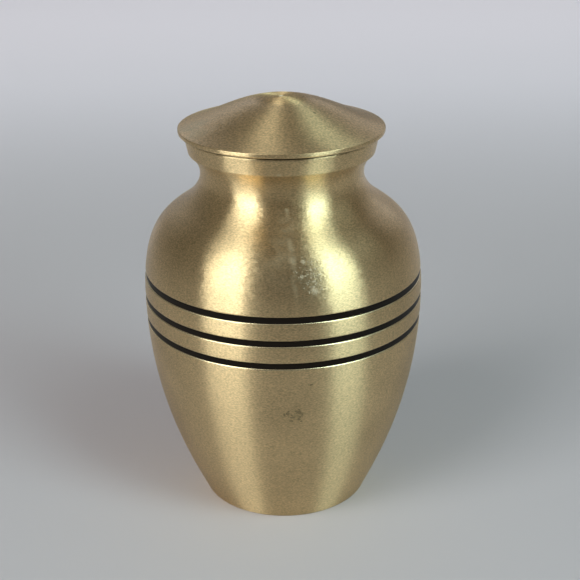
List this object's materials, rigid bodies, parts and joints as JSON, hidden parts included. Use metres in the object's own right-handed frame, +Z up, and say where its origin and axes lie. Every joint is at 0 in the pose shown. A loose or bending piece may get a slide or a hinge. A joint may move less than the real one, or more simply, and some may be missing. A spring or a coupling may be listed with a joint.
{
  "type": "cremation urn",
  "caption": "Small lidded keepsake urn of satin brass, with a round belly, a waisted neck, black-filled turned grooves and a shallow domed lid that lifts off.",
  "frame": {"origin": "centre of the flat underside that the urn stands on", "axes": "+Z up along the axis the urn is turned on; the urn is round, so +X and +Y are free"},
  "size_m": [0.051, 0.051, 0.0762],
  "materials": {
    "satin_brass": "satin, brushed round the axis, lightly spotted with age",
    "black_enamel": "satin black filling, a little below the brass"
  },
  "bodies": {
    "root": {"body": "satin_brass", "lid": "satin_brass", "upper_black_band": "black_enamel", "middle_black_band": "black_enamel", "lower_black_band": "black_enamel"}
  },
  "joints": []
}
